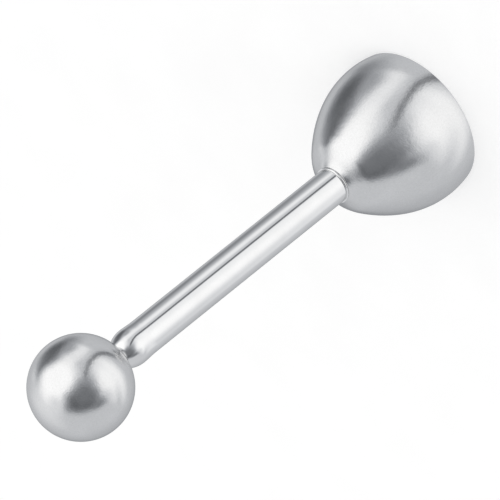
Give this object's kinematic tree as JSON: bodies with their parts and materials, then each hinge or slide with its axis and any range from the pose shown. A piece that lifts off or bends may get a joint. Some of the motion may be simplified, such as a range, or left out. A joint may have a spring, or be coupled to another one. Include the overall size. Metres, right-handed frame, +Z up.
{
  "type": "egg topper",
  "caption": "Egg topper: a round cup on a tube handle, with a ball-ended rod that is pulled up against a spring and strikes behind the cup when let go.",
  "frame": {"origin": "centre of the cup's rim, on the surface that the cup stands on", "axes": "+Z up the common axis, from the cup's rim to the ball; the part is round about Z, and X runs through the split of the lock washer"},
  "size_m": [0.0384, 0.0384, 0.1321],
  "materials": {
    "satin_steel": "satin stainless steel with a fine grain",
    "polished_steel": "polished stainless steel",
    "screw_steel": "bright stainless fastener",
    "turned_steel": "turned steel with fine rings",
    "bush_brass": "turned brass",
    "spring_wire": "drawn spring wire"
  },
  "bodies": {
    "handle": {"cup": "satin_steel", "cup_screw": "screw_steel", "lock_washer": "screw_steel", "collar_ring": "polished_steel", "anvil_plug": "turned_steel", "handle_tube": "polished_steel", "neck_bush": "bush_brass", "return_spring": "spring_wire"},
    "slider": {"thrust_washer": "screw_steel"},
    "plunger": {"striker": "turned_steel", "rod_nut": "screw_steel", "plunger_rod": "polished_steel", "ball_knob": "satin_steel"}
  },
  "joints": [
    {"name": "ball_pull", "type": "slide", "parent": "handle", "child": "slider", "axis": [0, 0, 1], "range_m": [0, 0.015], "stiffness_N_per_m": 700, "springref_m": -0.009, "deforming": ["return_spring"]},
    {"name": "ball_spin", "type": "hinge", "parent": "slider", "child": "plunger", "pos_m": [0, 0, 0.0561], "axis": [0, 0, 1], "continuous": true}
  ]
}
